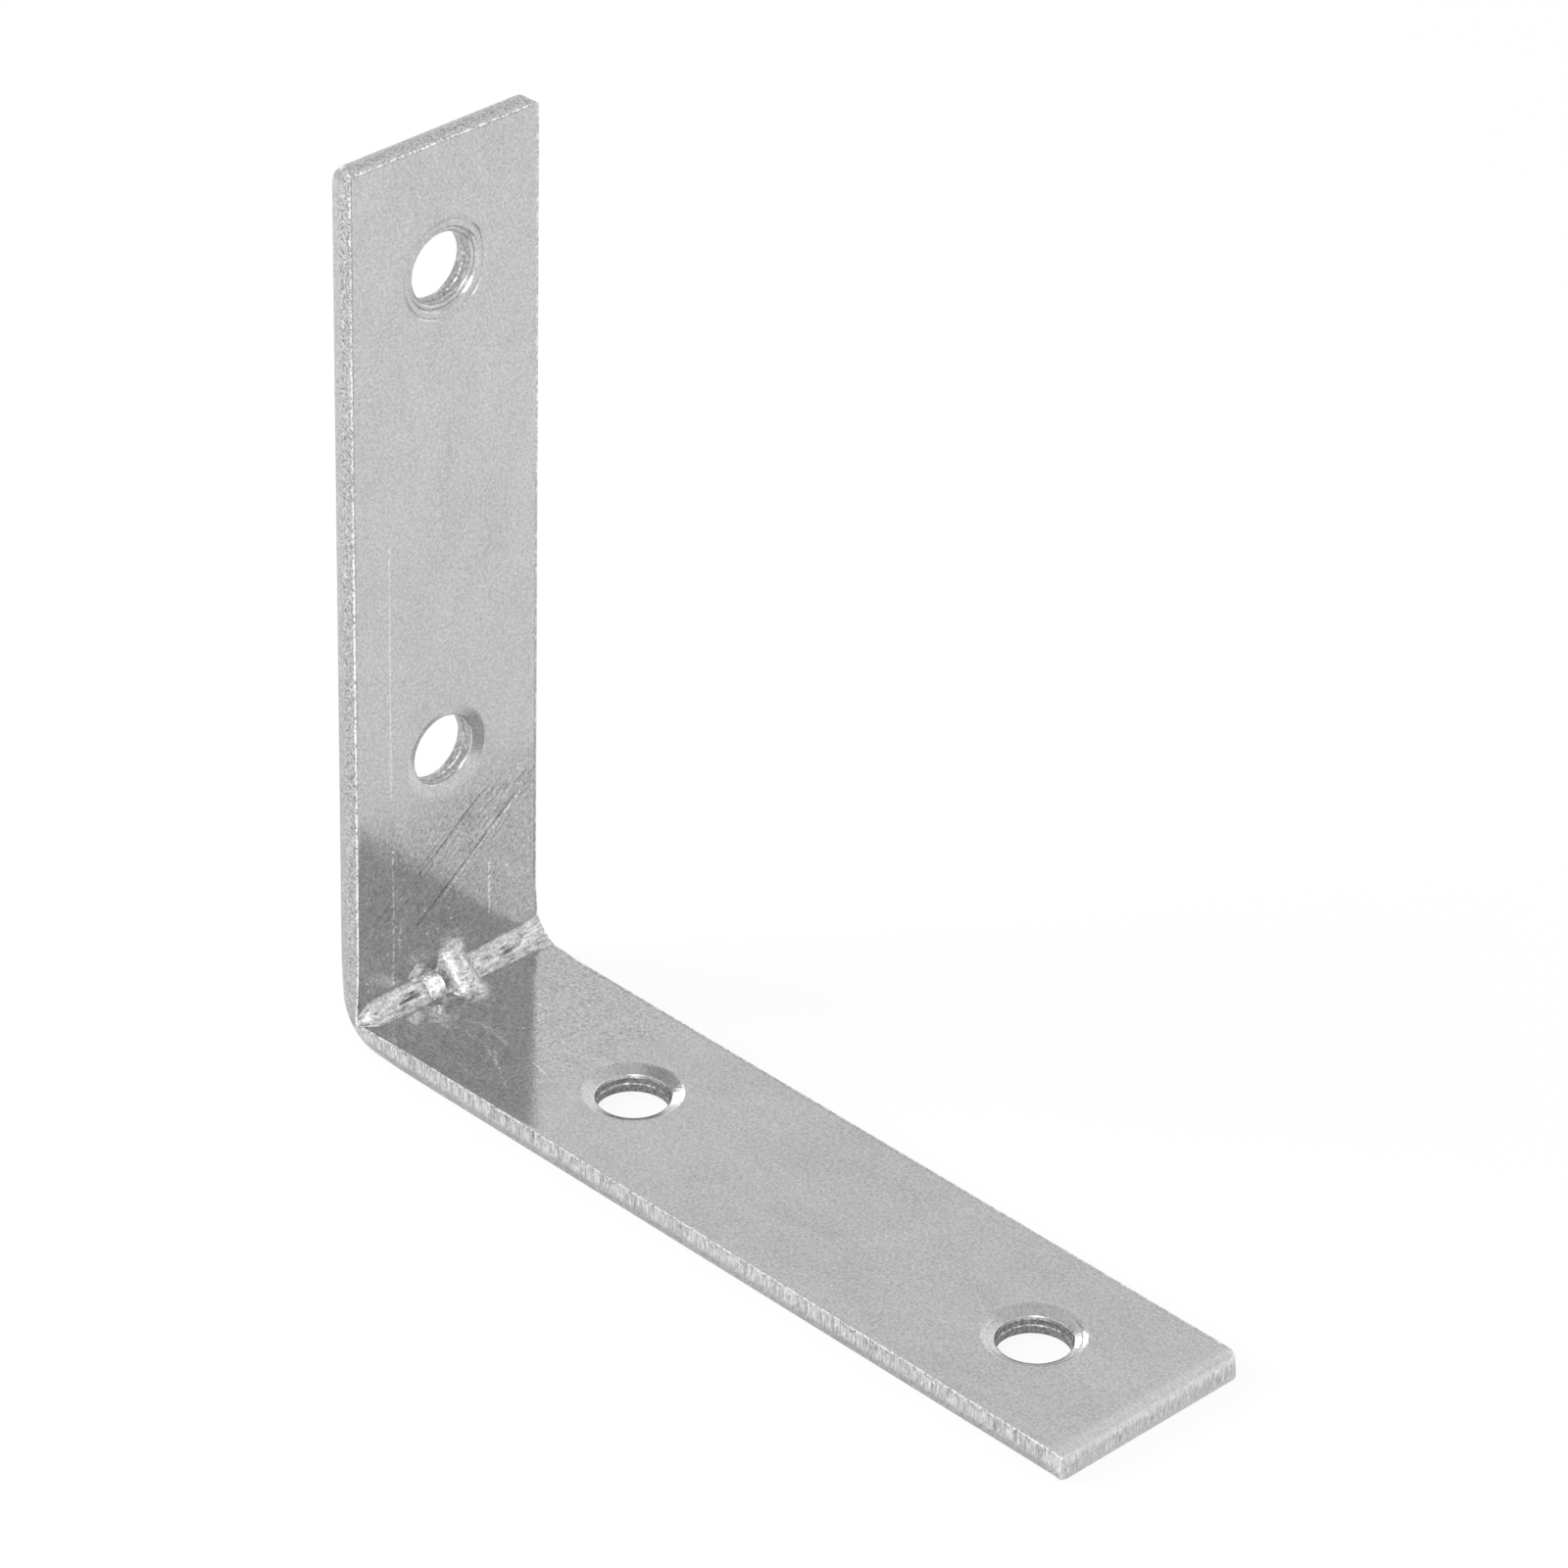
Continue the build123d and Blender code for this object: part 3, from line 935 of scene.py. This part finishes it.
# The ground
# A white paper sweep under the bracket. It looks white to the camera and in the metal, and keeps a faint
# shadow. A hair of air is left under the seat, because two faces in one plane render as a mixture of both.
ground_half = 1.5
ground_gap = 0.05 * millimetre
paper_colour = (0.9, 0.9, 0.9, 1)
white = (1, 1, 1, 1)
camera_white = 0.88
mirror_white = 0.1
ground_mesh = bpy.data.meshes.new("paper")
ground_corners = [(x * ground_half, y * ground_half, 0) for x, y in ((-1, -1), (1, -1), (1, 1), (-1, 1))]
ground_mesh.from_pydata(ground_corners, [], [(0, 1, 2, 3)])
ground = bpy.data.objects.new("paper", ground_mesh)
ground.location.z = -ground_gap
bpy.context.collection.objects.link(ground)
paper = bpy.data.materials.new("paper")
paper.use_nodes = True
paper_tree = paper.node_tree
paper_tree.nodes.clear()
paper_white = paper_tree.nodes.new("ShaderNodeBsdfDiffuse")
paper_white.inputs["Color"].default_value = paper_colour
paper_glow = paper_tree.nodes.new("ShaderNodeEmission")
paper_glow.inputs["Color"].default_value = white
paper_glow.inputs["Strength"].default_value = 1.0


def seen_directly(tree, camera_share, mirror_share):
    """One size for rays from the camera, another for mirrored and passed rays, and 0 for all others."""
    path = tree.nodes.new("ShaderNodeLightPath")
    total = 0.0
    for ray, share in (("Camera", camera_share), ("Glossy", mirror_share), ("Transmission", mirror_share)):
        total = worked_out(tree, "MULTIPLY_ADD", path.outputs["Is " + ray + " Ray"], share, total)
    return total


def shader_mix(tree, share, first, second):
    """A mix of two shaders, the second as strong as the share says."""
    made = tree.nodes.new("ShaderNodeMixShader")
    for socket, source in zip(made.inputs, (share, first.outputs[0], second.outputs[0])):
        tree.links.new(source, socket)
    return made


paper_direct = seen_directly(paper_tree, camera_white, mirror_white)
paper_seen = shader_mix(paper_tree, paper_direct, paper_white, paper_glow)
# From below, and in the hair of air under the seat, the paper lets rays through, so that the seat is seen
# and lit
paper_side = paper_tree.nodes.new("ShaderNodeNewGeometry")
paper_ray = paper_tree.nodes.new("ShaderNodeLightPath")
in_the_gap = worked_out(paper_tree, "LESS_THAN", paper_ray.outputs["Ray Length"], 4 * ground_gap)
paper_clear = worked_out(paper_tree, "MAXIMUM", paper_side.outputs["Backfacing"], in_the_gap)
paper_window = paper_tree.nodes.new("ShaderNodeBsdfTransparent")
paper_shader = shader_mix(paper_tree, paper_clear, paper_seen, paper_window)
paper_out = paper_tree.nodes.new("ShaderNodeOutputMaterial")
paper_tree.links.new(paper_shader.outputs[0], paper_out.inputs["Surface"])
ground_mesh.materials.append(paper)

# The studio light
# A white tent all round, and three soft boxes: a broad one high in front, one on the left that the metal
# doesn't mirror, and a small one low behind.
tent = bpy.data.worlds.new("tent")
bpy.context.scene.world = tent
tent.use_nodes = True
tent_tree = tent.node_tree
tent_light = tent_tree.nodes["Background"]
tent_light.inputs["Color"].default_value = white
tent_light.inputs["Strength"].default_value = 0.75
tent_seen = tent_tree.nodes.new("ShaderNodeBackground")
tent_seen.inputs["Color"].default_value = white
tent_way = tent_tree.nodes.new("ShaderNodeSeparateXYZ")
tent_tree.links.new(tent_tree.nodes.new("ShaderNodeTexCoord").outputs["Generated"], tent_way.inputs[0])
tent_path = tent_tree.nodes.new("ShaderNodeLightPath")


def tent_figure(operation, *values):
    """A number that the tent works out from others."""
    return worked_out(tent_tree, operation, *values)


# In the metal the tent is a little darker overhead, a little brighter towards the base's end and bright
# along the back wall
end_gain = tent_figure("MULTIPLY", tent_way.outputs["X"], 0.02)
overhead = tent_figure("MAXIMUM", tent_figure("SUBTRACT", tent_way.outputs["Z"], 0.5), 0.0)
back_wall = tent_figure("MAXIMUM", tent_figure("SUBTRACT", tent_way.outputs["Y"], 0.62), 0.0)
tent_change = tent_figure("ADD", end_gain, tent_figure("MULTIPLY", overhead, -0.4))
back_change = tent_figure("SUBTRACT", tent_figure("MULTIPLY", back_wall, 0.9), 0.03)
tent_change = tent_figure("ADD", tent_change, back_change)
tent_change = tent_figure("MULTIPLY", tent_change, tent_path.outputs["Is Glossy Ray"])
tent_tree.links.new(tent_figure("ADD", tent_change, 1.0), tent_seen.inputs["Strength"])
tent_shader = shader_mix(tent_tree, seen_directly(tent_tree, 1.0, 1.0), tent_light, tent_seen)
tent_tree.links.new(tent_shader.outputs[0], tent_tree.nodes["World Output"].inputs["Surface"])

lit_point = Vector((0.037, 0.0, 0.035))
light_distance = 0.8
# Each soft box: its direction, the direction of its long side, its long and short side in metres, its
# brightness, and whether the metal mirrors it
soft_boxes = {
    "front_box": ((0.472, -0.598, 0.652), (-0.73, 0.04, 0.68), 0.6, 0.46, 1.85, True),
    "left_box": ((-0.62, -0.58, 0.48), (0.0, 0.0, 1.0), 0.5, 0.4, 6.0, False),
    "back_box": ((-0.890, 0.312, 0.332), (0.0, 0.0, 1.0), 0.3, 0.24, 2.1, True),
}
for name, (direction, long_way, long_side, short_side, brightness, mirrored) in soft_boxes.items():
    lamp = bpy.data.lights.new(name, "AREA")
    lamp.shape = "RECTANGLE"
    lamp.size = long_side
    lamp.size_y = short_side
    lamp.energy = brightness * math.pi * long_side * short_side
    box = bpy.data.objects.new(name, lamp)
    outward = Vector(direction).normalized()
    sideways = (Vector(long_way) - outward * outward.dot(Vector(long_way))).normalized()
    turn = Matrix((sideways, outward.cross(sideways), outward)).transposed()
    box.matrix_world = Matrix.Translation(lit_point + outward * light_distance) @ turn.to_4x4()
    box.visible_glossy = mirrored
    bpy.context.collection.objects.link(box)

# The camera
# It stands where the photograph was taken from, with a long lens: in front of the fold, 45 degrees round and
# 32 degrees up.
camera_place = Vector((342.954, -306.399, 303.727)) * millimetre
camera_aim = Vector((36.725, 0.407, 35.005)) * millimetre
camera_roll = math.radians(-1.456)
picture_side = 1600
focal_pixels = 7451.4
camera_data = bpy.data.cameras.new("camera")
camera_data.sensor_width = 36.0
camera_data.lens = camera_data.sensor_width * focal_pixels / picture_side
camera_data.clip_start = 0.01
camera = bpy.data.objects.new("camera", camera_data)
camera.location = camera_place
facing = (camera_aim - camera_place).to_track_quat("-Z", "Y")
camera.rotation_euler = (facing.to_matrix() @ Matrix.Rotation(-camera_roll, 3, "Z")).to_euler()
bpy.context.collection.objects.link(camera)
bpy.context.scene.camera = camera
bpy.context.scene.view_settings.view_transform = "Standard"
